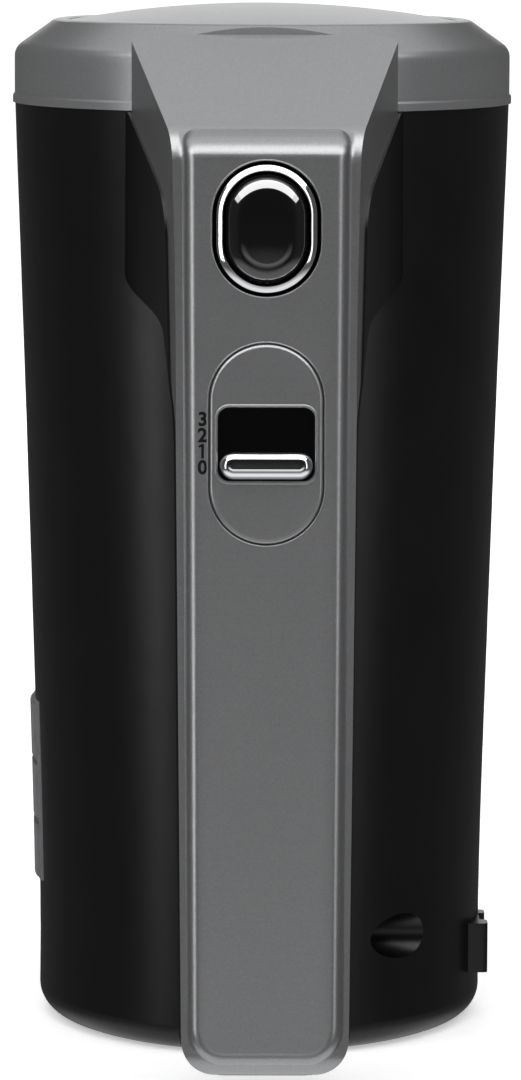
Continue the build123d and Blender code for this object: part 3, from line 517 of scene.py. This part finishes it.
def add_floor():
    """A wide pale floor with a faint unevenness, which pales to white all round the mixer."""
    corners = [(-1.0, -1.0), (1.0, -1.0), (1.0, 1.0), (-1.0, 1.0)]
    mesh = bpy.data.meshes.new("floor")
    places = [(x * FLOOR_HALF, y * FLOOR_HALF, -FLOOR_DROP) for x, y in corners]
    mesh.from_pydata(places, [], [(0, 1, 2, 3)])
    floor = bpy.data.objects.new("floor", mesh)
    made = Recipe("pale_floor", (0.9, 0.9, 0.9), 0.7)
    dark, light = ((grey, grey, grey) for grey in FLOOR_GREYS)
    made.link(made.tint(made.noise(FLOOR_CLOUDS), dark, light), "Base Color")
    made.set("Emission Color", (1.0, 1.0, 1.0, 1.0))
    away = made.add("ShaderNodeVectorMath", operation="LENGTH")
    made.link(made.place, away.inputs[0])
    rise = made.add("ShaderNodeMapRange")
    rise.inputs["From Min"].default_value, rise.inputs["From Max"].default_value = GLOW_DISTANCES
    rise.inputs["To Min"].default_value, rise.inputs["To Max"].default_value = GLOW_STRENGTHS
    made.link(away.outputs["Value"], rise.inputs["Value"])
    made.link(rise.outputs["Result"], "Emission Strength")
    mesh.materials.append(made.material)
    floor.visible_glossy = False
    bpy.context.scene.collection.objects.link(floor)


# ------------------------------------------------------------------ printed digits and trim on the handle
DIGIT_HEIGHT = 2.55 * MM
DIGIT_COLUMN = -11.15 * MM
DIGIT_PITCH = 2.81 * MM
DIGIT_LOWEST = -4.0 * MM
DIGIT_BOLDNESS = 0.032
INK = 0.02 * MM
# The outline of the figure 1 in millimetres, round its middle: a stem with a short flag.
FIGURE_ONE = [(0.25, 1.275), (0.25, -1.275), (-0.23, -1.275), (-0.23, 0.74), (-0.68, 0.55), (-0.68, 0.96),
              (-0.10, 1.275)]
BESIDE_PLATE = 11.0 * MM
RAY_START = 0.5
ARC_STEPS = 24
SECTION_STEPS = 8
# Each raised line in millimetres: its half width, half height and corner, then its half width, base and rise.
WINDOW_BEAD = (8.80, 6.75, 2.3, 0.30, 0.25, 0.30)
PLATE_EDGE_BEAD = (10.3, 17.85, 10.3, 0.14, -0.05, 0.16)
OPENING_BEAD = (9.70, 12.05, 9.7, 0.15, -0.05, 0.16)
# The chrome frame in millimetres: its loop, then its section as (outwards, height) pairs.
EJECT_FRAME_LOOP = (8.1, 10.5, 8.1)
EJECT_FRAME_SECTION = [(0.70, -6.0), (0.70, 0.22), (0.66, 0.32), (0.58, 0.39), (-0.25, 0.86), (-0.33, 0.89),
                       (-0.41, 0.87), (-0.45, 0.80), (-0.45, -6.0)]


class HandleFace:
    """The flat front face of the handle: X to the right, up along the slider's travel, and outwards."""

    def __init__(self):
        joints = frame["record"]["behaviour"]["joints"]
        axis = [joint["axis"] for joint in joints if joint["name"] == "speed_slide"][0]
        self.right = Vector((1.0, 0.0, 0.0))
        self.up = Vector(axis).normalized()
        self.out = self.right.cross(self.up)
        cover = BVHTree.FromObject(nodes["handle_cover"], bpy.context.evaluated_depsgraph_get())
        beside_plate = self.right * BESIDE_PLATE + self.up * self.level("slider_plate")
        hit = cover.ray_cast(beside_plate + self.out * RAY_START, -self.out)[0]
        self.height = hit.dot(self.out)

    def level(self, node):
        """How far up the face the middle of a CAD node is."""
        low, high = (Vector(corner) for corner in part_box(node))
        return ((low + high) / 2.0).dot(self.up)

    def point(self, x, up, out=0.0):
        """A place on the face, or a little in front of it."""
        return self.right * x + self.up * up + self.out * (self.height + out)


def add_piece(name, mesh, slot, body="mixer_body"):
    """A new piece with its material, fixed to one of the mixer's bodies."""
    piece = bpy.data.objects.new(name, mesh)
    bpy.context.scene.collection.objects.link(piece)
    mesh.materials.clear()
    mesh.materials.append(materials[slot])
    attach(piece, body)
    return piece


def figure_one():
    """The figure 1, as thick as the ink."""
    count = len(FIGURE_ONE)
    points = [(x * MM, y * MM, thick * INK) for thick in (-0.5, 0.5) for x, y in FIGURE_ONE]
    back = tuple(reversed(range(count)))
    front = tuple(range(count, 2 * count))
    sides = []
    for turn in range(count):
        following = (turn + 1) % count
        sides.append((turn, following, following + count, turn + count))
    mesh = bpy.data.meshes.new("digit_1")
    mesh.from_pydata(points, [], [front, back] + sides)
    return mesh


def digit_mesh(character):
    """One bold figure lying in the XY plane, centred on the origin and as tall as DIGIT_HEIGHT."""
    curve = bpy.data.curves.new("digit", "FONT")
    curve.body = character
    curve.offset = DIGIT_BOLDNESS
    curve.extrude = 0.5
    curve.resolution_u = 8
    scratch = bpy.data.objects.new("digit", curve)
    mesh = bpy.data.meshes.new_from_object(scratch)
    bpy.data.objects.remove(scratch)
    columns = [[vertex.co[axis] for vertex in mesh.vertices] for axis in range(2)]
    middle = [(min(column) + max(column)) / 2.0 for column in columns]
    scale = DIGIT_HEIGHT / (max(columns[1]) - min(columns[1]))
    for vertex in mesh.vertices:
        x, y, thick = vertex.co
        vertex.co = ((x - middle[0]) * scale, (y - middle[1]) * scale, thick * INK)
    return mesh


def add_digits(face):
    """The four speed numbers in a column beside the slider."""
    for step in range(4):
        mesh = figure_one() if step == 1 else digit_mesh(str(step))
        up = face.level("slider_plate") + DIGIT_LOWEST + step * DIGIT_PITCH
        for vertex in mesh.vertices:
            x, y, thick = vertex.co
            vertex.co = face.point(DIGIT_COLUMN + x, up + y, thick)
        add_piece(f"digit_{step}", mesh, "black_plastic")


def rounded_loop(half_x, half_y, corner):
    """Points round a rounded rectangle, each with its outward direction."""
    loop = []
    for quarter in range(4):
        side_x = 1.0 if quarter in (0, 3) else -1.0
        side_y = 1.0 if quarter in (0, 1) else -1.0
        for step in range(ARC_STEPS + 1):
            angle = math.pi / 2.0 * (quarter + step / ARC_STEPS)
            out_x, out_y = math.cos(angle), math.sin(angle)
            x = side_x * (half_x - corner) + corner * out_x
            y = side_y * (half_y - corner) + corner * out_y
            loop.append((x, y, out_x, out_y))
    return loop


def swept_mesh(name, face, level, loop, section, smooth_below):
    """A closed section, given as (outward, height) pairs, carried along a closed loop on the face."""
    points = []
    polygons = []
    for x, y, out_x, out_y in loop:
        for reach, height in section:
            points.append(face.point(x + out_x * reach, level + y + out_y * reach, height))
    count = len(section)
    for turn in range(len(loop)):
        start = turn * count
        following = (turn + 1) % len(loop) * count
        for step in range(count):
            beside = (step + 1) % count
            polygons.append((start + step, following + step, following + beside, start + beside))
    mesh = bpy.data.meshes.new(name)
    mesh.from_pydata(points, [], polygons)
    mesh.validate()
    for polygon in mesh.polygons:
        polygon.use_smooth = True
    mesh.set_sharp_from_angle(angle=math.radians(smooth_below))
    return mesh


def half_round(half_width, base, rise):
    """A half-round section."""
    angles = [math.pi * step / SECTION_STEPS for step in range(SECTION_STEPS + 1)]
    return [(half_width * math.cos(angle), base + rise * math.sin(angle)) for angle in angles]


def add_trim(face):
    """The raised lines round the slider's window, the slider's plate and the eject button's opening."""
    slider = face.level("slider_plate")
    button = face.level("eject_ring")
    lines = [
        ("window_bead", slider, WINDOW_BEAD),
        ("plate_edge_bead", slider, PLATE_EDGE_BEAD),
        ("opening_bead", button, OPENING_BEAD),
    ]
    for name, level, sizes in lines:
        half_x, half_y, corner, half_width, base, rise = (size * MM for size in sizes)
        section = half_round(half_width, base, rise)
        mesh = swept_mesh(name, face, level, rounded_loop(half_x, half_y, corner), section, smooth_below=50.0)
        add_piece(name, mesh, "metallic_grey")


def add_eject_frame(face):
    """The button's chrome frame, with the bevel that its moulded CAD ring leaves out."""
    loop = rounded_loop(*(size * MM for size in EJECT_FRAME_LOOP))
    section = [(outwards * MM, height * MM) for outwards, height in EJECT_FRAME_SECTION]
    mesh = swept_mesh("eject_frame", face, face.level("eject_ring"), loop, section, smooth_below=40.0)
    frame_piece = add_piece("eject_frame", mesh, "chrome", "eject_button")
    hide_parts("eject_ring")


def add_eject_spring():
    """The button's return spring, a copy of its CAD coil fixed to the mixer's body."""
    mesh = nodes["eject_spring"].data.copy()
    mesh.name = "eject_spring_coil"
    spring = add_piece("eject_spring_coil", mesh, "spring_steel")
    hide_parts("eject_spring")
    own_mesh(spring)


materials = make_materials()
dress_nodes(materials)
handle_face = HandleFace()
add_digits(handle_face)
add_trim(handle_face)
add_eject_frame(handle_face)
add_eject_spring()
add_floor()
add_world()
add_lights()
add_camera()
